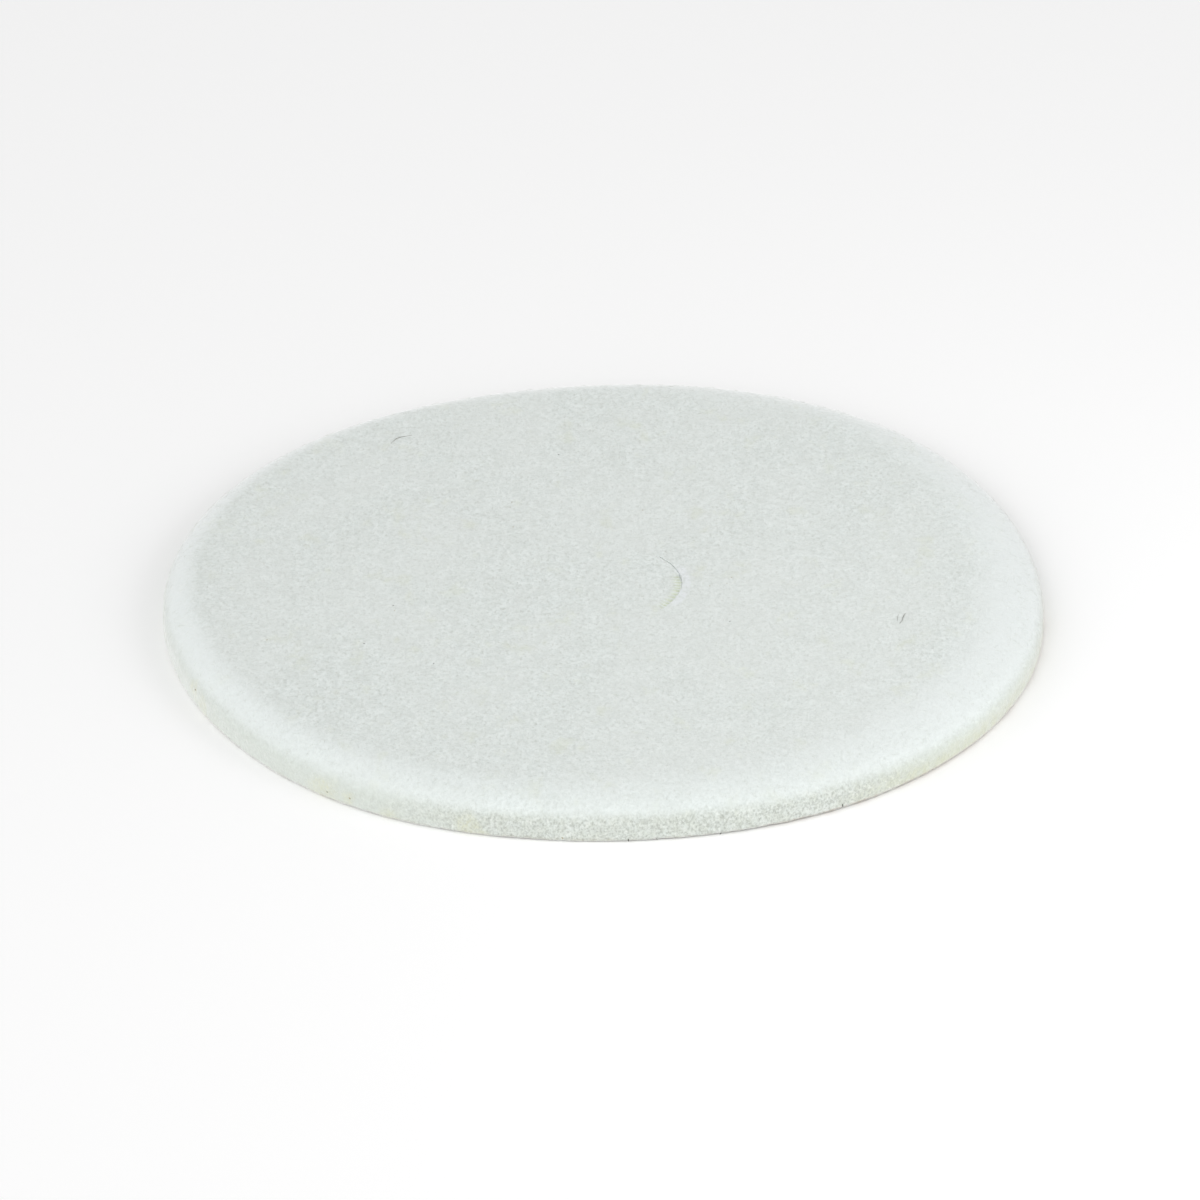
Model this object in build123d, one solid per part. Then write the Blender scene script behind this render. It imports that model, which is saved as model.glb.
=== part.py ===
from build123d import *
import math
import os

# A felt polishing wheel for a lapidary machine, in millimetres.
# The origin is the centre of the flat back, and +Z runs along the spin axis to the polishing face.

# Driving dimensions
WHEEL_DIAMETER = 203.2  # 8 in
WHEEL_THICKNESS = 9.5  # 3/8 in, from the back to the polishing face
PLATE_THICKNESS = 0.8
FILM_THICKNESS = 0.2
FELT_OVERHANG = 1.6  # how far the felt stands past the backing plate's edge
SHOULDER_WIDTH = 13.0  # the felt's face rolls down over this width
SHOULDER_DROP = 6.0
FELT_BOTTOM_RADIUS = 1.0
PLUG_HOLE_DIAMETER = 35.0
PLUG_CLEARANCE = 0.2
PLUG_EDGE_RADIUS = 0.3
HUB_HEIGHT = 6.2  # from the back to the boss's top, for a 1/4-20 UNC stud
HUB_FLANGE_DIAMETER = 32.0
HUB_FLANGE_THICKNESS = 2.0
HUB_BOSS_DIAMETER = 15.0
HUB_SPIGOT_DIAMETER = 14.0
HUB_SPIGOT_CLEARANCE = 0.05
HUB_EDGE_RADIUS = 0.5
THREAD_DIAMETER = 6.35  # major diameter of 1/4-20 UNC
THREAD_CHAMFER = 0.4
RIVET_COUNT = 4
RIVET_CIRCLE_DIAMETER = 23.5
RIVET_SHANK_DIAMETER = 2.4
RIVET_HEAD_DIAMETER = 4.3
RIVET_HEAD_DEPTH = 0.8
POCKET_CLEARANCE = 0.5  # between the plug's pocket and the hub's boss, all round and above

# Worked out from those
WHEEL_RADIUS = WHEEL_DIAMETER / 2
PLATE_RADIUS = WHEEL_RADIUS - FELT_OVERHANG
HOLE_RADIUS = PLUG_HOLE_DIAMETER / 2
FELT_BOTTOM = PLATE_THICKNESS + FILM_THICKNESS
FLANGE_TOP = PLATE_THICKNESS + HUB_FLANGE_THICKNESS


def disc(radius, bottom, top):
    """A plain solid disc about the spin axis."""
    return Pos(0, 0, bottom) * extrude(Circle(radius), amount=top - bottom)


def ring(outer, inner, bottom, top):
    return disc(outer, bottom, top) - disc(inner, bottom, top)


def felt_disc():
    """The pressed felt: a flat face, an elliptical shoulder, a short wall and a nearly square bottom edge."""
    shoulder_start = WHEEL_RADIUS - SHOULDER_WIDTH
    wall_top = WHEEL_THICKNESS - SHOULDER_DROP
    bottom_edge = WHEEL_RADIUS - FELT_BOTTOM_RADIUS
    bottom_arc_height = FELT_BOTTOM + FELT_BOTTOM_RADIUS
    shoulder = EllipticalCenterArc((shoulder_start, wall_top), SHOULDER_WIDTH, SHOULDER_DROP, arc_size=90)
    bottom_arc = CenterArc((bottom_edge, bottom_arc_height), FELT_BOTTOM_RADIUS, -90, 90)
    outline = [
        Line((HOLE_RADIUS, FELT_BOTTOM), (bottom_edge, FELT_BOTTOM)),
        bottom_arc,
        Line((WHEEL_RADIUS, bottom_arc_height), (WHEEL_RADIUS, wall_top)),
        shoulder,
        Line((shoulder_start, WHEEL_THICKNESS), (HOLE_RADIUS, WHEEL_THICKNESS)),
        Line((HOLE_RADIUS, WHEEL_THICKNESS), (HOLE_RADIUS, FELT_BOTTOM)),
    ]
    profile = make_face(Plane.XZ * Wire(Curve() + outline))
    return revolve(profile, Axis.Z)


def centre_plug():
    """The felt plug that sits on the hub's flange, hollowed underneath for the boss."""
    radius = HOLE_RADIUS - PLUG_CLEARANCE
    bottom = FLANGE_TOP + PLUG_CLEARANCE
    plug = disc(radius, bottom, WHEEL_THICKNESS)
    plug = fillet(plug.edges().group_by(Axis.Z)[-1], PLUG_EDGE_RADIUS)
    pocket_radius = HUB_BOSS_DIAMETER / 2 + POCKET_CLEARANCE
    return plug - disc(pocket_radius, bottom, HUB_HEIGHT + POCKET_CLEARANCE)


def bond_film():
    """The cement between the felt and the backing plate."""
    return ring(PLATE_RADIUS, HOLE_RADIUS, PLATE_THICKNESS, FELT_BOTTOM)


def rivet():
    """One flush rivet, its two countersunk heads level with the plate's back and the flange's top."""
    shank = disc(RIVET_SHANK_DIAMETER / 2, 0, FLANGE_TOP)
    head = Pos(0, 0, RIVET_HEAD_DEPTH / 2) * Cone(
        RIVET_HEAD_DIAMETER / 2, RIVET_SHANK_DIAMETER / 2, RIVET_HEAD_DEPTH
    )
    formed_head = Pos(0, 0, FLANGE_TOP - RIVET_HEAD_DEPTH / 2) * Cone(
        RIVET_SHANK_DIAMETER / 2, RIVET_HEAD_DIAMETER / 2, RIVET_HEAD_DEPTH
    )
    return shank + head + formed_head


def hub_rivets():
    return [place * rivet() for place in PolarLocations(RIVET_CIRCLE_DIAMETER / 2, RIVET_COUNT, 45)]


def backing_plate(rivets):
    """The thin stiff disc behind the felt, bored for the hub's spigot and the rivets."""
    plate = ring(PLATE_RADIUS, HUB_SPIGOT_DIAMETER / 2 + HUB_SPIGOT_CLEARANCE, 0, PLATE_THICKNESS)
    for one in rivets:
        plate -= one
    return plate


def threaded_hub(rivets):
    """The flanged hub. Its hole is a plain cylinder of the thread's major diameter."""
    hub = disc(HUB_SPIGOT_DIAMETER / 2, 0, PLATE_THICKNESS)
    hub += disc(HUB_FLANGE_DIAMETER / 2, PLATE_THICKNESS, FLANGE_TOP)
    hub += disc(HUB_BOSS_DIAMETER / 2, FLANGE_TOP, HUB_HEIGHT)
    boss_rim = hub.edges().group_by(Axis.Z)[-1]
    flange_rim = hub.edges().filter_by_position(Axis.Z, FLANGE_TOP, FLANGE_TOP).sort_by(SortBy.LENGTH)[-1:]
    hub = fillet(boss_rim + flange_rim, HUB_EDGE_RADIUS)
    hub -= disc(THREAD_DIAMETER / 2, 0, HUB_HEIGHT)
    mouths = hub.edges().filter_by(GeomType.CIRCLE).filter_by(
        lambda edge: math.isclose(edge.radius, THREAD_DIAMETER / 2)
    )
    hub = chamfer(mouths, THREAD_CHAMFER)
    for one in rivets:
        hub -= one
    return hub


def write_parts():
    os.makedirs("parts", exist_ok=True)
    rivets = hub_rivets()
    nodes = {
        "felt_disc": felt_disc(),
        "centre_plug": centre_plug(),
        "bond_film": bond_film(),
        "backing_plate": backing_plate(rivets),
        "threaded_hub": threaded_hub(rivets),
        "hub_rivets": Compound(children=rivets),
    }
    for name, shape in nodes.items():
        export_step(shape, f"parts/{name}.step")


write_parts()
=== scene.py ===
import math
import random

import bpy
from mathutils import Matrix, Vector, noise


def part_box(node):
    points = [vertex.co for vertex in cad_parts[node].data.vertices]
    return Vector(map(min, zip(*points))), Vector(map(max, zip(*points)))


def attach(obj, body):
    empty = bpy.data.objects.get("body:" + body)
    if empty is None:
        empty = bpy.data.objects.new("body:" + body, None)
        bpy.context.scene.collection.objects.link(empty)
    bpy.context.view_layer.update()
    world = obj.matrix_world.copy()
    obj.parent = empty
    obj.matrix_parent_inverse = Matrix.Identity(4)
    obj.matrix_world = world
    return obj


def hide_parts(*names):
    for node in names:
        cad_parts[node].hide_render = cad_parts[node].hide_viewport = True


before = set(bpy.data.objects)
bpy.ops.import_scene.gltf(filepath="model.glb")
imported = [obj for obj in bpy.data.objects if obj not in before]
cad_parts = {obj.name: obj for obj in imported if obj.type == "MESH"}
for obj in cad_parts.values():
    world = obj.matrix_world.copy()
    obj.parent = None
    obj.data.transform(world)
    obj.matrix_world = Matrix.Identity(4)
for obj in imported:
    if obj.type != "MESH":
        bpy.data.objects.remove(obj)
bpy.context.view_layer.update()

# ---------------------------------------------------------------- sizes, in metres
MM = 0.001

# Read from the CAD frame
FELT_LOW, FELT_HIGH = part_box("felt_disc")
PLUG_LOW, PLUG_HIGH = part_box("centre_plug")
PLATE_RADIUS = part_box("backing_plate")[1][0]
FILM_LOW, FILM_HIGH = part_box("bond_film")
HUB_LOW, HUB_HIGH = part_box("threaded_hub")
WHEEL_RADIUS = FELT_HIGH[0]
FACE_HEIGHT = FELT_HIGH[2]
FELT_BACK = FELT_LOW[2]
HOLE_RADIUS = PLUG_HIGH[0] + 0.2 * MM  # the plug has 0.2 mm of clearance
PLUG_BOTTOM = PLUG_LOW[2]
HUB_TOP = HUB_HIGH[2]

# How finely the turned meshes are divided, round the axis and along the felt ring's section
RING_SEGMENTS = 960
PLUG_SEGMENTS = 720
FILM_SEGMENTS = 480
FACE_ROWS = 48
SHOULDER_ROWS = 24
WALL_ROWS = 8
LIP_ROWS = 4
BACK_ROWS = 6
HOLE_ROWS = 8

# The felt's section. The shoulder is widest at the front right and narrowest at the back left.
SHOULDER_WIDTH = 11.2 * MM
SHOULDER_SWING = 3.6 * MM
SHOULDER_WIDEST_AT = -0.8  # radians from +X
SHOULDER_DROP = 5.6 * MM
LIP_RADIUS = 0.9 * MM  # the rounding of the felt's lower edge, where the plate leaves room for it
LIP_RADIUS_LEAST = 0.3 * MM
LIP_GAP = 0.25 * MM  # between the felt's drooping lip and the plate's edge
POCKET_RADIUS = 8 * MM  # the plug's pocket, which clears the hub's boss
POCKET_CLEARANCE = 0.5 * MM

# How far the rim is out of round: count round the rim, size, phase in radians
RIM_WAVES = [(3, 0.70 * MM, -2.88), (4, 0.92 * MM, 2.48), (6, 0.20 * MM, 0.37), (7, 0.11 * MM, 2.18)]

# Straw-yellow stains on the wall: degrees from +X, height, size
RIM_STAINS = [(-159, 3.8 * MM, 3.2 * MM), (-156, 2.2 * MM, 3.6 * MM), (-125.0, 2.4 * MM, 2.4 * MM),
              (-129, 1.8 * MM, 5.5 * MM), (-119, 0.6 * MM, 3.2 * MM), (-108, 1.2 * MM, 5.0 * MM)]

# Specks on the wall: degrees from +X, height, size
STRAW_SPOTS = [(-158.3, 4.4 * MM, 0.3 * MM), (-124.8, 2.5 * MM, 0.3 * MM), (-96, 1.0 * MM, 0.28 * MM)]
GRIT_SPOTS = [(-59.2, 1.3 * MM, 0.42 * MM), (-128.4, 2.0 * MM, 0.26 * MM), (-87.6, 0.5 * MM, 0.34 * MM),
              (-84, 0.5 * MM, 0.24 * MM), (-75.8, 0.5 * MM, 0.3 * MM)]

# The plug's seam, in degrees from +X: open at the back right, crushed and glue-stained at the front right
SEAM_OPEN = (4, 56)
SEAM_OPEN_GAP = 0.085 * MM
SEAM_CRUSHED = (-42, 4)
SEAM_CRUSH_WIDTH = 3.0 * MM
SEAM_CRUSH_DEPTH = 0.30 * MM
SEAM_TEETH = 76  # serrations round a whole circle
SEAM_TOOTH_HEIGHT = 0.2 * MM

# The nap: loose fibres on each square millimetre, and the parts that each is bent from
FACE_NAP = 0.09
RIM_NAP = 0.35
FIBRE_PARTS = 5
LOWEST_FIBRE = 0.05 * MM

# A speck's middle line, as places along it and out of the felt, and its radii, as shares of its size
SPECK_LINE = [(-1, 0), (-0.5, 0.1), (0, 0.1), (0.5, 0.1), (1, 0)]
SPECK_RADII = [0.08, 0.3, 0.36, 0.26, 0.06]

# The hub's 1/4-20 thread
THREAD_RADIUS = 3.175 * MM
THREAD_CREST_RADIUS = 2.55 * MM
THREAD_PITCH = 25.4 * MM / 20

FLOOR_HEIGHT = -0.06 * MM  # just clear of the plate's underside
FLOOR_SIZE = 120  # so large that its edge looks level with the horizon

# The light tent's walls: the way each lies, and how bright it is. It is dim everywhere else.
TENT_WALLS = [((-1, 0, 0.15), 1.42), ((1, 0, 0.15), 1.02), ((0, -1, 0.15), 0.86)]
TENT_DIM = 0.2

# The camera: a long lens, well back. The angles are in radians.
CAMERA_DISTANCE = 32 * WHEEL_RADIUS
CAMERA_ELEVATION = math.radians(29.65)
CAMERA_PAN = 0.00046
CAMERA_TILT = 0.0014
CAMERA_ROLL = 0.0139
CAMERA_LENS_MM = 424
SENSOR_WIDTH_MM = 36


# ---------------------------------------------------------------- node helpers
def new_material(name):
    material = bpy.data.materials.new(name)
    material.use_nodes = True
    tree = material.node_tree
    return material, tree, tree.nodes["Principled BSDF"]


def connect(tree, value, socket):
    """Links an output socket, or sets a constant."""
    if isinstance(value, bpy.types.NodeSocket):
        tree.links.new(value, socket)
    else:
        socket.default_value = value


def put(tree, kind, inputs=None, **settings):
    made = tree.nodes.new(kind)
    for key, value in settings.items():
        setattr(made, key, value)
    for key, value in (inputs or {}).items():
        connect(tree, value, made.inputs[key])
    return made


def place_in_object(tree, stretch=(1, 1, 1)):
    """Object coordinates in metres, scaled along each axis."""
    place = put(tree, "ShaderNodeTexCoord").outputs["Object"]
    return put(tree, "ShaderNodeMapping", {"Vector": place, "Scale": stretch}).outputs["Vector"]


def grain(tree, place, size, detail=2.0, roughness=0.5, distortion=0.0):
    """Noise whose features are about size metres across, from 0 to 1."""
    inputs = {"Vector": place, "Scale": 1 / size, "Detail": detail}
    inputs.update({"Roughness": roughness, "Distortion": distortion})
    return put(tree, "ShaderNodeTexNoise", inputs).outputs["Fac"]


def remap(tree, value, low, high, to_low=0.0, to_high=1.0):
    inputs = {"Value": value, "From Min": low, "From Max": high, "To Min": to_low, "To Max": to_high}
    return put(tree, "ShaderNodeMapRange", inputs, interpolation_type="SMOOTHSTEP").outputs["Result"]


def calc(tree, operation, a, b=0.0):
    return put(tree, "ShaderNodeMath", {0: a, 1: b}, operation=operation).outputs["Value"]


def times(tree, *factors):
    product = factors[0]
    for factor in factors[1:]:
        product = calc(tree, "MULTIPLY", product, factor)
    return product


def plus(tree, *terms):
    total = terms[0]
    for term in terms[1:]:
        total = calc(tree, "ADD", total, term)
    return total


def mix_colour(tree, factor, a, b):
    made = put(tree, "ShaderNodeMix", data_type="RGBA")
    for index, value in ((0, factor), (6, a), (7, b)):
        connect(tree, value, made.inputs[index])
    return made.outputs[2]


def bump(tree, height, distance, strength=1.0):
    inputs = {"Height": height, "Distance": distance, "Strength": strength}
    return put(tree, "ShaderNodeBump", inputs).outputs["Normal"]


def srgb(red, green, blue):
    """A colour given as 0 to 255 display values, as the linear one that a shader takes."""
    def linear(value):
        value /= 255
        return value / 12.92 if value <= 0.04045 else ((value + 0.055) / 1.055) ** 2.4
    return (linear(red), linear(green), linear(blue), 1.0)


def marked(tree, name):
    """The number from 0 to 1 that mark gave each vertex under this name, or 0 on a mesh that has none."""
    return put(tree, "ShaderNodeAttribute", attribute_name=name).outputs["Fac"]


def radius_and_angle(tree, place):
    """The distance from the spin axis, and the angle from +X in degrees."""
    parts = put(tree, "ShaderNodeSeparateXYZ", {0: place}).outputs
    squares = plus(tree, times(tree, parts["X"], parts["X"]), times(tree, parts["Y"], parts["Y"]))
    angle = calc(tree, "ARCTAN2", parts["Y"], parts["X"])
    return calc(tree, "SQRT", squares), calc(tree, "DEGREES", angle)


def window(tree, value, low, high, fade):
    """1 between low and high, falling to 0 over fade on each side."""
    rising = remap(tree, value, low - fade, low)
    falling = remap(tree, value, high, high + fade, 1.0, 0.0)
    return times(tree, rising, falling)


def fibre_lines(tree, place, size, width):
    """Thin curling lines, 1 on the line and 0 away from it: where a warped noise crosses its middle value."""
    field = grain(tree, place, size, detail=1.0, distortion=1.6)
    away = calc(tree, "ABSOLUTE", calc(tree, "SUBTRACT", field, 0.5))
    return remap(tree, away, 0.0, width, 1.0, 0.0)


# ---------------------------------------------------------------- materials
def felt_material():
    """Pressed wool: small dark pores in a pale mottled face, a smoother shoulder with a painted highlight,
    and a coarse cut wall with painted shade and painted contact shade at its foot.
    """
    material, tree, shader = new_material("pressed_wool_felt")
    place = place_in_object(tree, (1.12, 0.8, 1))
    radius, angle = radius_and_angle(tree, place_in_object(tree))

    mottle = grain(tree, place, 1.0 * MM, detail=3.0, roughness=0.6)
    fine = grain(tree, place, 0.75 * MM, detail=2.0, roughness=0.6)
    pit = grain(tree, place_in_object(tree, (1, 0.62, 1)), 0.8 * MM, detail=2.0, roughness=0.6)
    pore = grain(tree, place, 0.62 * MM, detail=2.0, roughness=0.6)
    patch = grain(tree, place, 2.6 * MM, detail=3.0, roughness=0.6)
    cloud = grain(tree, place, 5 * MM, detail=2.0)
    stain = grain(tree, place, 7 * MM, detail=4.0, roughness=0.6)
    broad = grain(tree, place, 24 * MM, detail=2.0)
    pale_fibre = fibre_lines(tree, place, 2.6 * MM, 0.018)
    dark_fibre = fibre_lines(tree, place_in_object(tree, (0.8, 1.25, 1)), 3.4 * MM, 0.012)

    # The shoulder's painted highlight
    shoulder_highlight = marked(tree, "shoulder_highlight")
    wall = marked(tree, "wall")
    cut = marked(tree, "cut")
    # The wall's smooth parts, where the painted shade is deepest
    smooth_wall_shade = calc(tree, "SUBTRACT", wall, cut)
    warm = marked(tree, "warm")
    # A cement stain, with painted contact shade along the wall's foot
    stain_and_contact_shade = marked(tree, "stain_and_contact_shade")
    stained = marked(tree, "stained")
    crushed = marked(tree, "crushed")
    # A painted highlight on the raised lip beside the crushed part of the seam
    lip_highlight = times(tree, window(tree, radius, HOLE_RADIUS, HOLE_RADIUS + 1.6 * MM, 0.7 * MM),
                     window(tree, angle, -26, 18, 14), remap(tree, mottle, 0.3, 0.6, 0.1, 0.5))

    # Each layer's share, and its colour as display values
    layers = [
        # all over
        (remap(tree, fine, 0.57, 0.77, 0, 0.5), (180, 185, 176)),
        (remap(tree, pit, 0.49, 0.75, 0, 0.58), (174, 180, 171)),
        (remap(tree, cloud, 0.35, 0.65, 0, 0.3), (202, 208, 202)),
        (remap(tree, broad, 0.35, 0.65, 0, 0.3), (219, 224, 220)),
        (remap(tree, stain, 0.56, 0.74, 0, 0.36), (204, 210, 186)),
        (times(tree, pale_fibre, 0.2), (236, 239, 236)),
        (times(tree, dark_fibre, 0.18), (176, 180, 170)),
        # the shoulder: a painted highlight, palest at the left and right
        (times(tree, shoulder_highlight, 0.85), (231, 237, 236)),
        # the wall: painted shade over all of it, deeper on its smooth parts, then its cut surface's stains,
        # pores and flecks, and at its foot a cement stain with painted contact shade
        (times(tree, wall, 0.5), (205, 210, 203)),
        (times(tree, smooth_wall_shade, 0.7), (195, 202, 194)),
        (times(tree, cut, remap(tree, patch, 0.35, 0.65, 0, 0.2)), (196, 199, 178)),
        (times(tree, warm, remap(tree, patch, 0.3, 0.65, 0.3, 0.62)), (194, 197, 163)),
        (times(tree, cut, remap(tree, pore, 0.36, 0.72, 0, 0.76)), (162, 166, 158)),
        (times(tree, cut, remap(tree, mottle, 0.52, 0.7, 0, 0.5)), (227, 231, 226)),
        # a cement stain, with painted contact shade along the wall's foot
        (times(tree, stain_and_contact_shade, remap(tree, patch, 0.3, 0.6, 0.25, 0.9)), (150, 132, 104)),
        (times(tree, stained, remap(tree, fine, 0.3, 0.6, 0.5, 0.2)), (205, 205, 172)),
        # the seam: a glue stain where it is crushed, and a painted highlight on the raised lip beside it
        (times(tree, crushed, remap(tree, fine, 0.3, 0.5, 0.5, 0.9)), (201, 209, 178)),
        (lip_highlight, (228, 232, 238)),
    ]
    colour = mix_colour(tree, remap(tree, mottle, 0.3, 0.7), srgb(206, 214, 210), srgb(225, 232, 229))
    for share, shade in layers:
        colour = mix_colour(tree, share, colour, srgb(*shade))
    connect(tree, colour, shader.inputs["Base Color"])

    height = plus(tree, times(tree, mottle, 1.2), times(tree, fine, -0.6), times(tree, pit, -0.7),
                  times(tree, pale_fibre, 0.25), times(tree, cut, pore, -2.4), times(tree, cut, patch, 1.5),
                  times(tree, crushed, 0.6))
    connect(tree, bump(tree, height, 0.18 * MM, 0.65), shader.inputs["Normal"])
    connect(tree, remap(tree, mottle, 0.3, 0.7, 0.9, 1.0), shader.inputs["Roughness"])
    shader.inputs["Specular IOR Level"].default_value = 0.2
    shader.inputs["Sheen Weight"].default_value = 1.0
    shader.inputs["Sheen Roughness"].default_value = 0.5
    return material


def fibre_material(name, dark, pale, roughness):
    """A fibre's colour varies from one to the next and along its length."""
    material, tree, shader = new_material(name)
    each = put(tree, "ShaderNodeNewGeometry").outputs["Random Per Island"]
    along = grain(tree, place_in_object(tree), 1.2 * MM)
    blend = plus(tree, times(tree, each, 0.6), times(tree, along, 0.4))
    connect(tree, mix_colour(tree, blend, dark, pale), shader.inputs["Base Color"])
    dull = remap(tree, along, 0.2, 0.8, roughness - 0.08, roughness + 0.08)
    connect(tree, dull, shader.inputs["Roughness"])
    connect(tree, bump(tree, along, 0.01 * MM, 0.3), shader.inputs["Normal"])
    return material


def phenolic_material():
    """Brown paper-and-resin sheet: mottled, with fine paper fibres and light scuffs."""
    material, tree, shader = new_material("paper_phenolic")
    place = place_in_object(tree)
    mottle = grain(tree, place, 6 * MM, detail=4.0, roughness=0.6)
    fibre = grain(tree, place_in_object(tree, (1, 0.22, 1)), 0.8 * MM, detail=3.0)
    scuff = fibre_lines(tree, place_in_object(tree, (0.35, 1, 1)), 14 * MM, 0.006)
    colour = mix_colour(tree, remap(tree, mottle, 0.3, 0.7), srgb(94, 72, 54), srgb(118, 92, 68))
    colour = mix_colour(tree, remap(tree, fibre, 0.5, 0.8, 0, 0.5), colour, srgb(140, 112, 84))
    colour = mix_colour(tree, times(tree, scuff, 0.35), colour, srgb(168, 144, 116))
    connect(tree, colour, shader.inputs["Base Color"])
    connect(tree, plus(tree, remap(tree, mottle, 0.3, 0.7, 0.38, 0.5), times(tree, scuff, 0.2)),
            shader.inputs["Roughness"])
    height = plus(tree, fibre, times(tree, scuff, -0.6))
    connect(tree, bump(tree, height, 0.02 * MM, 0.5), shader.inputs["Normal"])
    return material


def cement_material():
    """Straw-coloured, in glossy blobs."""
    material, tree, shader = new_material("dried_cement")
    place = place_in_object(tree)
    blob = grain(tree, place, 3 * MM, detail=3.0)
    colour = mix_colour(tree, remap(tree, blob, 0.3, 0.7), srgb(176, 150, 92), srgb(206, 186, 132))
    connect(tree, colour, shader.inputs["Base Color"])
    connect(tree, remap(tree, blob, 0.3, 0.7, 0.3, 0.5), shader.inputs["Roughness"])
    connect(tree, bump(tree, blob, 0.1 * MM, 0.6), shader.inputs["Normal"])
    return material


def turned_steel():
    """Zinc-plated steel with the fine rings that a lathe leaves."""
    material, tree, shader = new_material("turned_steel")
    place = place_in_object(tree)
    radius, _ = radius_and_angle(tree, place)
    drift = grain(tree, place, 5 * MM, detail=3.0)
    wandering = plus(tree, radius, times(tree, drift, 0.05 * MM))
    ring = calc(tree, "SINE", times(tree, wandering, math.tau / (0.22 * MM)))
    smear = grain(tree, place, 1.5 * MM, detail=4.0, roughness=0.65)
    colour = mix_colour(tree, remap(tree, drift, 0.3, 0.7), srgb(176, 180, 184), srgb(204, 206, 206))
    colour = mix_colour(tree, remap(tree, smear, 0.6, 0.8, 0, 0.4), colour, srgb(150, 148, 140))
    connect(tree, colour, shader.inputs["Base Color"])
    shader.inputs["Metallic"].default_value = 1.0
    connect(tree, plus(tree, remap(tree, smear, 0.3, 0.7, 0.24, 0.4), times(tree, ring, 0.03)),
            shader.inputs["Roughness"])
    connect(tree, bump(tree, ring, 0.01 * MM, 0.5), shader.inputs["Normal"])
    return material


def rivet_aluminium():
    """Pale aluminium, dented by the setting tool and finely scratched."""
    material, tree, shader = new_material("rivet_aluminium")
    place = place_in_object(tree)
    dent = grain(tree, place, 0.9 * MM, detail=3.0)
    scratch = grain(tree, place_in_object(tree, (1, 0.15, 1)), 0.25 * MM, detail=2.0)
    colour = mix_colour(tree, remap(tree, dent, 0.3, 0.7), srgb(196, 197, 196), srgb(222, 223, 222))
    connect(tree, colour, shader.inputs["Base Color"])
    shader.inputs["Metallic"].default_value = 1.0
    connect(tree, remap(tree, scratch, 0.3, 0.7, 0.3, 0.5), shader.inputs["Roughness"])
    height = plus(tree, dent, times(tree, scratch, 0.3))
    connect(tree, bump(tree, height, 0.06 * MM, 0.6), shader.inputs["Normal"])
    return material


# ---------------------------------------------------------------- mesh helpers
def steps(start, stop, count):
    """count values after start, the last one being stop."""
    return [start + (stop - start) * (i + 1) / count for i in range(count)]


def smooth(value, low, high):
    """0 at low, 1 at high, with a soft start and end."""
    share = min(1.0, max(0.0, (value - low) / (high - low)))
    return share * share * (3 - 2 * share)


def between(value, low, high, fade):
    """1 between low and high, falling to 0 over fade on each side."""
    return smooth(value, low - fade, low) * (1 - smooth(value, high, high + fade))


def degrees_at(x, y):
    """The angle from +X, from -180 to 180 degrees."""
    return math.degrees(math.atan2(y, x))


def rough(x, y, z, size):
    """Noise from about -1 to 1, with features about size metres across."""
    return noise.noise(Vector((x, y, z)) / size)


def piece_from(name, points, faces, material, body):
    """A smooth-shaded piece that rides on a body."""
    mesh = bpy.data.meshes.new(name)
    mesh.from_pydata(points, [], faces)
    mesh.validate()
    mesh.polygons.foreach_set("use_smooth", [True] * len(mesh.polygons))
    mesh.set_sharp_from_angle(angle=math.radians(50))
    mesh.materials.append(material)
    piece = bpy.data.objects.new(name, mesh)
    bpy.context.collection.objects.link(piece)
    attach(piece, body)
    return piece


def mark(piece, name, share):
    """Gives each vertex a number from 0 to 1, which a material reads by its name."""
    layer = piece.data.attributes.new(name, "FLOAT", "POINT")
    layer.data.foreach_set("value", [share(v.co) for v in piece.data.vertices])


def turn_section(section, segments, closed):
    """Turns a section round Z. section(angle) gives points from the axis out and back, or a closed loop."""
    points = []
    for i in range(segments):
        points += section(2 * math.pi * i / segments)
    count = len(points) // segments
    faces = []
    for i in range(segments):
        near = i * count
        far = (i + 1) % segments * count
        for j in range(count if closed else count - 1):
            k = (j + 1) % count
            faces.append((near + j, near + k, far + k, far + j))
    if not closed:
        for row, first in ((0, True), (count - 1, False)):
            middle = len(points)
            points.append((0, 0, points[row][2]))
            for i in range(segments):
                near = i * count + row
                far = (i + 1) % segments * count + row
                faces.append((middle, near, far) if first else (middle, far, near))
    return points, faces


# ---------------------------------------------------------------- felt
def rim_offset(angle):
    """How far the rim stands outside the CAD felt's radius, or inside it."""
    return sum(size * math.cos(count * angle + phase) for count, size, phase in RIM_WAVES)


def face_height(x, y):
    """The polishing face's height: a little uneven, with a raised lip beside the crushed part of the seam."""
    lift = 0.10 * MM * rough(x, y, 0, 30 * MM) + 0.05 * MM * rough(x, y, 5, 4 * MM)
    radius = math.hypot(x, y)
    lip = between(degrees_at(x, y), -32, 12, 14)
    lip *= between(radius, HOLE_RADIUS, HOLE_RADIUS + 0.6 * MM, 1.6 * MM)
    return FACE_HEIGHT + lift + (0.16 * MM * lip if radius > HOLE_RADIUS - 0.1 * MM else 0)


def shoulder_width(angle):
    """How far the shoulder reaches in from the rim."""
    return SHOULDER_WIDTH + SHOULDER_SWING * math.cos(angle - SHOULDER_WIDEST_AT)


def coarseness(degrees):
    """How coarsely the wall is cut: most at the front, and nearly smooth at the left, right and back."""
    return 0.25 + 0.75 * between(degrees, -104, -62, 22)


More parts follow.
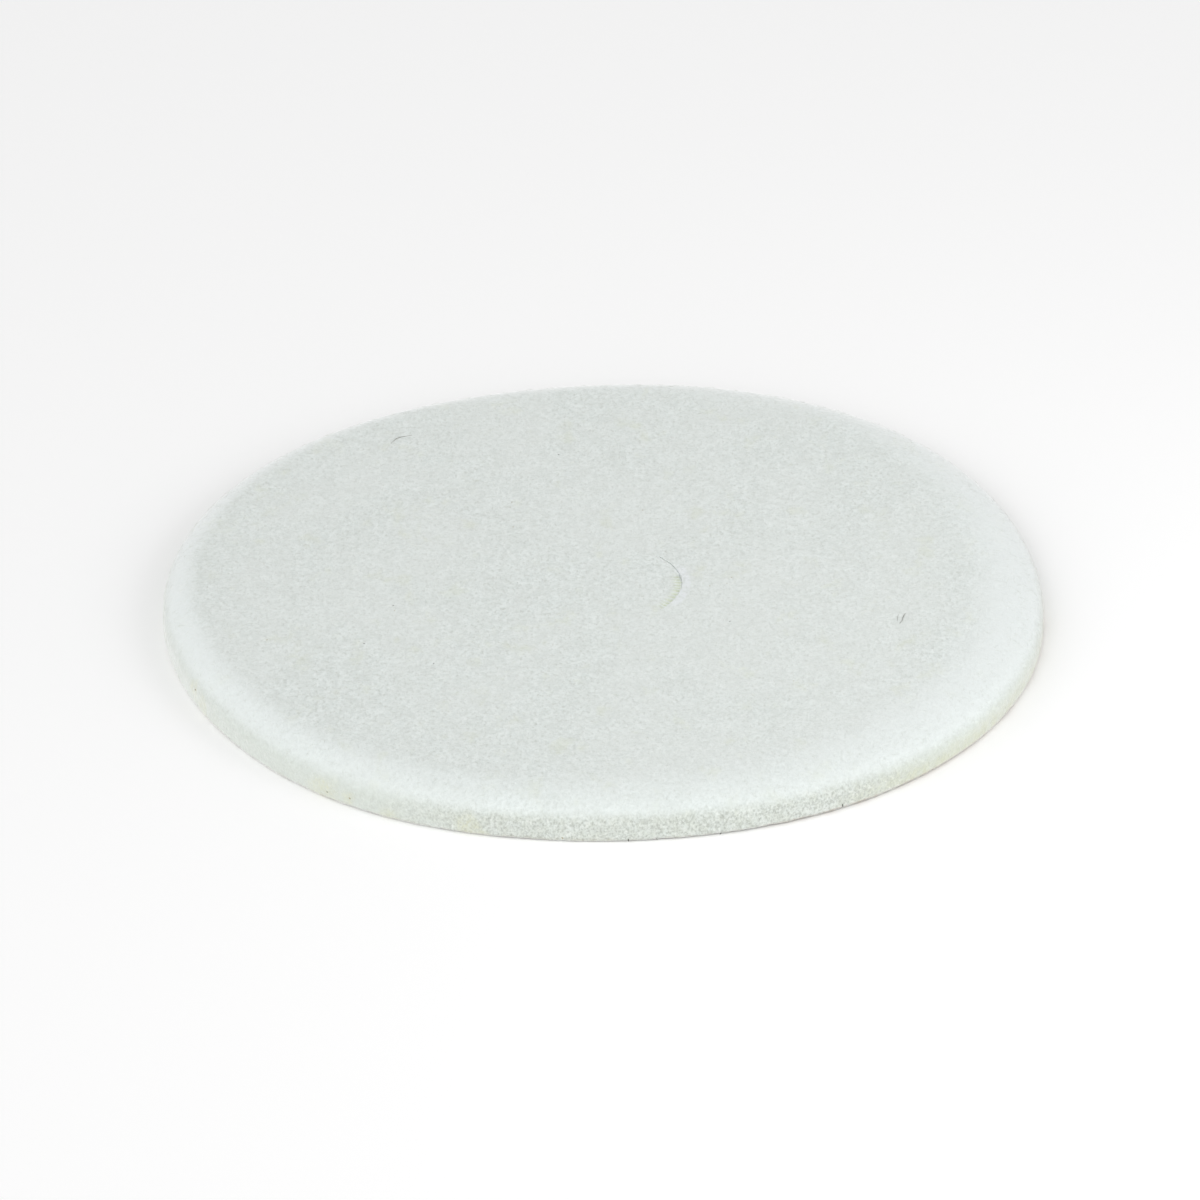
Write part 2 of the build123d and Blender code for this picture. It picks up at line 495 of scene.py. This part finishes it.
def ring_section(angle):
    """The felt ring's section at one angle, as a closed loop of points."""
    cos, sin = math.cos(angle), math.sin(angle)
    degrees = degrees_at(cos, sin)
    width = shoulder_width(angle)
    rim = WHEEL_RADIUS + rim_offset(angle)
    flat_edge = rim - width
    wall_top = FACE_HEIGHT - SHOULDER_DROP
    # The lip hangs nearly to the table, except at the front right
    lip_bottom = 0.12 * MM + 0.26 * MM * between(degrees, -68, -12, 14)
    lip_bottom += 0.16 * MM * rough(rim * cos, rim * sin, 3, 3.5 * MM)
    lip_bottom += 0.08 * MM * rough(rim * cos, rim * sin, 4, 0.9 * MM)
    lip_bottom = max(0.0, lip_bottom)
    lip = max(LIP_RADIUS_LEAST, min(LIP_RADIUS, rim - PLATE_RADIUS - 0.15 * MM))
    hole = HOLE_RADIUS + 0.03 * MM * rough(cos * HOLE_RADIUS, sin * HOLE_RADIUS, 7, 2 * MM)
    ruggedness = 0.4 + 0.6 * coarseness(degrees)
    rows = []

    def add(radius, height, share):
        """share says how much of the wall's coarse cut surface a point has."""
        x, y = radius * cos, radius * sin
        coarse = 0.11 * MM * rough(x, y, height, 1.3 * MM) + 0.12 * MM * rough(x, y, height, 5 * MM)
        radius += share * coarse * ruggedness
        rows.append((radius * cos, radius * sin, height))

    for radius in [hole] + steps(hole, flat_edge, FACE_ROWS):
        add(radius, face_height(radius * cos, radius * sin), 0)
    for turn in steps(0, math.pi / 2, SHOULDER_ROWS):
        radius = flat_edge + width * math.sin(turn)
        drop = SHOULDER_DROP * (1 - math.cos(turn))
        add(radius, face_height(radius * cos, radius * sin) - drop, math.sin(turn) ** 3)
    for height in steps(wall_top, lip_bottom + lip, WALL_ROWS):
        add(rim, height, 1)
    for turn in steps(0, math.pi / 2, LIP_ROWS):
        add(rim - lip * (1 - math.cos(turn)), lip_bottom + lip * (1 - math.sin(turn)), 1 - turn / 2)
    inside = min(PLATE_RADIUS + LIP_GAP, rim - lip - 0.1 * MM)
    add(inside, lip_bottom, 0)
    add(inside, FELT_BACK, 0)
    for radius in steps(inside, hole, BACK_ROWS):
        add(radius, FELT_BACK, 0)
    for height in steps(FELT_BACK, FACE_HEIGHT, HOLE_ROWS)[:-1]:
        add(hole, height, 0)
    return rows


def wall_share(place):
    """1 on the wall and 0 on the face. The wall starts lower at the right, and softly where it is smooth."""
    degrees = degrees_at(place.x, place.y)
    drop = FACE_HEIGHT - place.z - 1.5 * MM * between(degrees, -36, 20, 24)
    softness = 1 - coarseness(degrees)
    return smooth(drop, (2.4 - 1.3 * softness) * MM, (4.8 + 1.6 * softness) * MM)


def cut_share(place):
    """How much of the wall's coarse cut surface a place has."""
    return wall_share(place) * coarseness(degrees_at(place.x, place.y))


def warm_share(place):
    """How much warmer and darker a place is: the wall at the front right, more the lower it is."""
    degrees = degrees_at(place.x, place.y)
    outside = smooth(math.hypot(place.x, place.y), 0.8 * WHEEL_RADIUS, 0.9 * WHEEL_RADIUS)
    return outside * between(degrees, -48, -4, 15) * (1 - smooth(place.z, 1.5 * MM, 6.5 * MM))


def shoulder_highlight_share(place):
    """How much painted highlight a place on the shoulder has. It is palest at the left and right."""
    angle = math.atan2(place.y, place.x)
    inward = WHEEL_RADIUS + rim_offset(angle) - math.hypot(place.x, place.y)
    width = shoulder_width(angle)
    near_rim = 1 - smooth(inward, 0.45 * width, (1.25 + 0.25 * math.cos(angle)) * width)
    above_wall = 1 - smooth(FACE_HEIGHT - place.z, 2.4 * MM, 4.8 * MM)
    return near_rim * above_wall * (0.42 + 0.5 * math.cos(angle) ** 2)


def stain_and_contact_shade_share(place):
    """How stained and shaded the wall's lower edge is: painted contact shade all round, and most at the front
    right, where the cement has stained it.
    """
    degrees = degrees_at(place.x, place.y)
    along = 0.25 + 0.75 * between(degrees, -60, -4, 16)
    blotch = 0.35 * MM * rough(place.x, place.y, 9, 3 * MM)
    return along * (1 - smooth(place.z + blotch, 0.5 * MM, 1.25 * MM))


def stained_share(place):
    """How deep in one of the wall's few straw-yellow stains a place is."""
    share = 0.0
    for degrees, height, size in RIM_STAINS:
        angle = math.radians(degrees)
        middle = Vector((WHEEL_RADIUS * math.cos(angle), WHEEL_RADIUS * math.sin(angle), height))
        away = (place - middle).length + 0.3 * size * rough(place.x, place.y, place.z, 0.6 * size)
        share = max(share, 1 - smooth(away, 0.35 * size, size))
    return share


def felt_ring(material):
    """The disc of felt round the plug."""
    points, faces = turn_section(ring_section, RING_SEGMENTS, closed=True)
    ring = piece_from("felt_ring", points, faces, material, "wheel")
    mark(ring, "wall", wall_share)
    mark(ring, "cut", cut_share)
    # a painted highlight on the shoulder
    mark(ring, "shoulder_highlight", shoulder_highlight_share)
    # a cement stain, with painted contact shade along the wall's foot
    mark(ring, "stain_and_contact_shade", stain_and_contact_shade_share)
    mark(ring, "warm", warm_share)
    mark(ring, "stained", stained_share)
    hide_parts("felt_disc")
    return ring


def seam_crush(degrees):
    """1 where the seam is crushed and 0 elsewhere."""
    return between(degrees, SEAM_CRUSHED[0] + 6, SEAM_CRUSHED[1] + 2, 12)


def seam_tooth(degrees):
    """The crushed seam's uneven serrations, from -1 to 1."""
    turn = math.radians(degrees)
    return math.sin(turn * SEAM_TEETH + 3.0 * rough(math.cos(turn), math.sin(turn), 3, 0.16))


def crushed_share(place):
    """How crushed and glue-stained a place on the plug is."""
    degrees = degrees_at(place.x, place.y)
    near_edge = smooth(math.hypot(place.x, place.y), HOLE_RADIUS - SEAM_CRUSH_WIDTH, HOLE_RADIUS - 0.5 * MM)
    return near_edge * seam_crush(degrees) * (0.55 + 0.45 * seam_tooth(degrees))


def plug_section(angle):
    """The plug's section at one angle, from its top's middle out, down and back to the pocket's middle."""
    cos, sin = math.cos(angle), math.sin(angle)
    degrees = degrees_at(cos, sin)
    gap = SEAM_OPEN_GAP * between(degrees, SEAM_OPEN[0] + 10, SEAM_OPEN[1] - 16, 15)
    crush = seam_crush(degrees)
    radius = HOLE_RADIUS + 0.02 * MM - gap - 0.1 * MM * crush
    depth = SEAM_CRUSH_DEPTH + SEAM_TOOTH_HEIGHT * seam_tooth(degrees)
    rows = []

    def add(at, height):
        rows.append((at * cos, at * sin, height))

    def top(at):
        sunk = smooth(at, radius - SEAM_CRUSH_WIDTH, radius) * crush * depth
        rolled = 2.5 * gap * smooth(at, radius - 0.4 * MM, radius)
        return face_height(at * cos, at * sin) - sunk - rolled

    for at in steps(0, radius - SEAM_CRUSH_WIDTH, 16) + steps(radius - SEAM_CRUSH_WIDTH, radius, 7):
        add(at, top(at))
    for height in steps(top(radius), PLUG_BOTTOM, 9):
        add(radius - 0.12 * MM * smooth(FACE_HEIGHT - height, 0, 0.8 * MM), height)
    pocket_top = HUB_TOP + POCKET_CLEARANCE
    for at in steps(radius, POCKET_RADIUS, 5):
        add(at, PLUG_BOTTOM)
    for height in steps(PLUG_BOTTOM, pocket_top, 5):
        add(POCKET_RADIUS, height)
    for at in steps(POCKET_RADIUS, 0.6 * MM, 5):
        add(at, pocket_top)
    return rows


def felt_plug(material):
    """The plug that closes the felt's centre hole."""
    points, faces = turn_section(plug_section, PLUG_SEGMENTS, closed=False)
    plug = piece_from("felt_plug", points, faces, material, "plug")
    mark(plug, "crushed", crushed_share)
    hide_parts("centre_plug")
    return plug


# ---------------------------------------------------------------- fibres
def tube(path, radii, sides):
    """A closed thin tube along a path, as points and faces."""
    points = []
    faces = []
    count = len(path)
    for i, (place, radius) in enumerate(zip(path, radii)):
        ahead = (path[min(i + 1, count - 1)] - path[max(i - 1, 0)]).normalized()
        across = ahead.cross(Vector((0.31, 0.12, 0.94))).normalized()
        other = ahead.cross(across)
        for j in range(sides):
            turn = 2 * math.pi * j / sides
            points.append(place + radius * (math.cos(turn) * across + math.sin(turn) * other))
    for i in range(count - 1):
        for j in range(sides):
            k = (j + 1) % sides
            faces.append((i * sides + j, i * sides + k, (i + 1) * sides + k, (i + 1) * sides + j))
    faces.append(tuple(range(sides))[::-1])
    faces.append(tuple((count - 1) * sides + j for j in range(sides)))
    return points, faces


def join(parts):
    """Many (points, faces) as one."""
    points = []
    faces = []
    for some_points, some_faces in parts:
        start = len(points)
        points += some_points
        faces += [tuple(start + i for i in face) for face in some_faces]
    return points, faces


def fibre_path(draw, root, normal, length, lift):
    """A short curled fibre that starts in the felt and lies along it or stands out a little."""
    ahead = normal.orthogonal().normalized()
    ahead.rotate(Matrix.Rotation(draw.uniform(0, math.tau), 3, normal))
    curl = draw.uniform(-1.6, 1.6)
    free_end = draw.random() < 0.35

    def height(share):
        """A free end stands out. A fibre caught at both ends makes a low arch."""
        return lift * (share if free_end else math.sin(math.pi * share) * 0.6)

    path = [root - normal * 0.03 * MM]
    for i in range(FIBRE_PARTS):
        ahead.rotate(Matrix.Rotation(curl / FIBRE_PARTS, 3, normal))
        rise = height((i + 1) / FIBRE_PARTS) - height(i / FIBRE_PARTS)
        path.append(path[-1] + ahead * length / FIBRE_PARTS + normal * rise)
    return path


def nap(name, host, body, material, seed, wanted):
    """Loose fibres on a felt piece. wanted(face) is how many fibres a square millimetre of that face has."""
    draw = random.Random(seed)
    parts = []
    for face in host.data.polygons:
        density = wanted(face)
        if density <= 0:
            continue
        expected = density * face.area / MM ** 2
        many = int(expected) + (draw.random() < expected % 1)
        for _ in range(many):
            length = draw.uniform(0.7, 2.2) * MM
            lift = draw.uniform(0.05, 0.3) * MM
            path = fibre_path(draw, face.center.copy(), face.normal.copy(), length, lift)
            for spot in path:
                spot.z = max(spot.z, LOWEST_FIBRE)
            thick = draw.uniform(0.014, 0.024) * MM
            parts.append(tube(path, [thick] * (FIBRE_PARTS - 1) + [thick * 0.8, thick * 0.4], 3))
    points, faces = join(parts)
    piece = piece_from(name, points, faces, material, body)


def ring_nap_density(face):
    """None in the hole or underneath, and thickest near the rim."""
    radius = math.hypot(face.center.x, face.center.y)
    if radius < HOLE_RADIUS + 0.3 * MM or face.normal.z < -0.5:
        return 0
    return FACE_NAP if radius < WHEEL_RADIUS - 8 * MM else RIM_NAP


def plug_nap_density(face):
    """Only on the plug's top, clear of its seam."""
    radius = math.hypot(face.center.x, face.center.y)
    on_top = face.normal.z > 0.5 and face.center.z > PLUG_BOTTOM + 4 * MM
    return FACE_NAP if on_top and radius < HOLE_RADIUS - 1.5 * MM else 0


def stray_hairs(material):
    """Two coarse dark hairs caught in the face. The second is three strands."""
    # Each strand's points on the face and its radius, in millimetres
    strands = [
        ([(-49.9, 67.9), (-49.2, 69.3), (-48.3, 70.6), (-47.2, 71.1), (-46.2, 71.3), (-44.9, 71.9)], 0.045),
        ([(68.4, -15.7), (68.0, -16.7), (67.7, -18.0), (67.6, -18.9)], 0.055),
        ([(67.6, -18.6), (67.3, -19.6), (66.9, -20.4)], 0.035),
        ([(66.8, -16.2), (66.3, -17.8), (66.6, -19.4)], 0.025),
    ]
    parts = []
    for spots, thick in strands:
        curve = bpy.data.curves.new("strand", "CURVE")
        curve.dimensions = "3D"
        line = curve.splines.new("NURBS")
        line.points.add(len(spots) - 1)
        for i, (x, y) in enumerate(spots):
            x, y = x * MM, y * MM
            lift = (0.03 if i in (0, len(spots) - 1) else 0.09) * MM
            line.points[i].co = (x, y, face_height(x, y) + lift, 1)
        line.order_u = 3
        line.use_endpoint_u = True
        holder = bpy.data.objects.new("strand", curve)
        path = [v.co.copy() for v in bpy.data.meshes.new_from_object(holder).vertices]
        bpy.data.objects.remove(holder)
        bulge = [math.sin(math.pi * (i + 0.5) / len(path)) for i in range(len(path))]
        parts.append(tube(path, [thick * MM * (0.35 + 0.65 * share) for share in bulge], 6))
    points, faces = join(parts)
    piece = piece_from("stray_hairs", points, faces, material, "wheel")


def specks(name, material, seed, spots, scattered):
    """Bits left in the wool: the spots on the wall, and some scattered on the face."""
    draw = random.Random(seed)
    places = []
    for degrees, height, size in spots:
        angle = math.radians(degrees)
        rim = WHEEL_RADIUS + rim_offset(angle)
        middle = Vector((rim * math.cos(angle), rim * math.sin(angle), height))
        out = Vector((math.cos(angle), math.sin(angle), 0.2)).normalized()
        places.append((middle, out, size))
    for _ in range(scattered):
        angle = math.radians(draw.uniform(0, 360))
        radius = draw.uniform(22, 84) * MM
        x, y = radius * math.cos(angle), radius * math.sin(angle)
        middle = Vector((x, y, face_height(x, y)))
        places.append((middle, Vector((0, 0, 1)), draw.uniform(0.12, 0.26) * MM))
    parts = []
    for middle, out, size in places:
        along = out.orthogonal().normalized()
        along.rotate(Matrix.Rotation(draw.uniform(0, math.tau), 3, out))
        path = [middle + size * (place * along + rise * out) for place, rise in SPECK_LINE]
        radii = [size * share * draw.uniform(0.8, 1.1) for share in SPECK_RADII]
        parts.append(tube(path, radii, 6))
    points, faces = join(parts)
    piece = piece_from(name, points, faces, material, "wheel")


# ---------------------------------------------------------------- back and hub
def cement_film(material):
    """The film, squeezed out unevenly at the plate's edge and inside the centre hole."""
    def section(angle):
        cos, sin = math.cos(angle), math.sin(angle)
        outer = PLATE_RADIUS - 0.15 * MM + 0.25 * MM * rough(cos * 40, sin * 40, 0, 1.3)
        inner = HOLE_RADIUS - 0.35 * MM + 0.25 * MM * rough(cos * 9, sin * 9, 4, 1.0)
        low, high = FILM_LOW[2] + 0.005 * MM, FILM_HIGH[2] - 0.005 * MM
        bead = high + 0.35 * MM  # where it climbs the felt in the hole
        rows = [(inner, low), (inner - 0.1 * MM, (low + bead) / 2), (inner + 0.1 * MM, bead)]
        rows += [(HOLE_RADIUS - 0.03 * MM, bead - 0.05 * MM), (HOLE_RADIUS - 0.02 * MM, high)]
        rows += [(outer, high), (outer + 0.08 * MM, (low + high) / 2), (outer, low)]
        return [(r * cos, r * sin, z) for r, z in rows]

    points, faces = turn_section(section, FILM_SEGMENTS, closed=True)
    film = piece_from("cement_film", points, faces, material, "wheel")
    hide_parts("bond_film")


def hub_thread(material):
    """The 1/4-20 thread inside the hub, as one helical ridge from the hole's wall inwards."""
    low, high = HUB_LOW[2] + 0.5 * MM, HUB_HIGH[2] - 0.5 * MM
    turns = (high - low) / THREAD_PITCH - 0.75
    per_turn = 48
    run_out = per_turn / 4
    points = []
    count = int(turns * per_turn) + 1
    for i in range(count):
        turn = math.tau * i / per_turn
        middle = low + THREAD_PITCH * (0.4 + i / per_turn)
        ease = min(1.0, i / run_out, (count - 1 - i) / run_out)
        crest = THREAD_RADIUS - (THREAD_RADIUS - THREAD_CREST_RADIUS) * ease
        for radius, shift in ((THREAD_RADIUS, -0.44), (crest, -0.07), (crest, 0.07), (THREAD_RADIUS, 0.44)):
            points.append((radius * math.cos(turn), radius * math.sin(turn), middle + shift * THREAD_PITCH))
    faces = []
    for i in range(count - 1):
        for j in range(4):
            k = (j + 1) % 4
            faces.append((i * 4 + j, i * 4 + k, (i + 1) * 4 + k, (i + 1) * 4 + j))
    faces.append((3, 2, 1, 0))
    faces.append(tuple((count - 1) * 4 + j for j in range(4)))
    thread = piece_from("hub_thread", points, faces, material, "wheel")
    thread.data.polygons.foreach_set("use_smooth", [False] * len(thread.data.polygons))


def dress(node, material):
    """Gives a CAD node its finished material."""
    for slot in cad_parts[node].material_slots:
        slot.material = material


# ---------------------------------------------------------------- studio
def studio_floor():
    """White paper that glows faintly, as if lit from behind."""
    bpy.ops.mesh.primitive_plane_add(size=FLOOR_SIZE, location=(0, 0, FLOOR_HEIGHT))
    floor = bpy.context.object
    floor.name = "studio_floor"
    material, _, shader = new_material("floor_paper")
    shader.inputs["Base Color"].default_value = (0.95, 0.95, 0.95, 1)
    shader.inputs["Roughness"].default_value = 0.9
    shader.inputs["Specular IOR Level"].default_value = 0.1
    shader.inputs["Emission Color"].default_value = (1, 1, 1, 1)
    shader.inputs["Emission Strength"].default_value = 0.07
    floor.data.materials.append(material)


def softbox(name, place, size, power):
    """A square area light that faces the wheel."""
    lamp = bpy.data.lights.new(name, "AREA")
    lamp.shape = "SQUARE"
    lamp.size = size
    lamp.energy = power
    box = bpy.data.objects.new(name, lamp)
    box.location = place
    box.rotation_euler = (-Vector(place)).to_track_quat("-Z", "Y").to_euler()
    bpy.context.collection.objects.link(box)


def studio_light():
    """A light tent, brightest at its left and right walls, with two soft boxes at the front."""
    world = bpy.data.worlds.new("light_tent")
    world.use_nodes = True
    tree = world.node_tree
    toward = put(tree, "ShaderNodeTexCoord").outputs["Generated"]
    tent = TENT_DIM
    for wall, strength in TENT_WALLS:
        inputs = {0: toward, 1: Vector(wall).normalized()}
        facing = put(tree, "ShaderNodeVectorMath", inputs, operation="DOT_PRODUCT").outputs["Value"]
        facing = calc(tree, "MAXIMUM", facing, 0.0)
        tent = plus(tree, tent, times(tree, facing, facing, strength))
    connect(tree, tent, tree.nodes["Background"].inputs["Strength"])
    tree.nodes["Background"].inputs["Color"].default_value = (1, 1, 1, 1)
    bpy.context.scene.world = world
    softbox("front_left_box", place=(-0.55, -1.75, 1.45), size=1.2, power=10.4)
    softbox("right_box", place=(0.34, -0.22, 0.28), size=0.25, power=0.45)


def studio_camera():
    """Aimed at the origin from the front, then panned, tilted and rolled a little."""
    lens = bpy.data.cameras.new("camera")
    lens.lens = CAMERA_LENS_MM
    lens.sensor_width = SENSOR_WIDTH_MM
    lens.clip_end = 200  # past the floor's far edge
    camera = bpy.data.objects.new("camera", lens)
    bpy.context.collection.objects.link(camera)
    place = CAMERA_DISTANCE * Vector((0, -math.cos(CAMERA_ELEVATION), math.sin(CAMERA_ELEVATION)))
    forward = -place.normalized()
    right = Vector((1, 0, 0))
    up = right.cross(forward)
    for turned, axis in ((CAMERA_PAN, up), (CAMERA_TILT, right), (CAMERA_ROLL, forward)):
        turn = Matrix.Rotation(turned, 3, axis)
        forward, right, up = turn @ forward, turn @ right, turn @ up
    camera.matrix_world = Matrix.Translation(place) @ Matrix((right, up, -forward)).transposed().to_4x4()
    bpy.context.scene.camera = camera


studio_camera()
studio_floor()
studio_light()

felt = felt_material()
wool = fibre_material("loose_wool", srgb(196, 200, 190), srgb(236, 238, 234), 0.7)
ring = felt_ring(felt)
plug = felt_plug(felt)
nap("ring_nap", ring, "wheel", wool, 7, ring_nap_density)
nap("plug_nap", plug, "plug", wool, 8, plug_nap_density)
stray_hairs(fibre_material("dark_hair", srgb(70, 66, 56), srgb(120, 114, 98), 0.5))
straw = fibre_material("straw_speck", srgb(120, 104, 70), srgb(186, 170, 126), 0.8)
grit = fibre_material("grit", srgb(38, 36, 30), srgb(72, 68, 56), 0.6)
specks("straw_specks", straw, 31, STRAW_SPOTS, scattered=16)
specks("dark_grit", grit, 33, GRIT_SPOTS, scattered=5)

steel = turned_steel()
cement_film(cement_material())
hub_thread(steel)
dress("backing_plate", phenolic_material())
dress("threaded_hub", steel)
dress("hub_rivets", rivet_aluminium())

bpy.context.scene.view_settings.view_transform = "Standard"
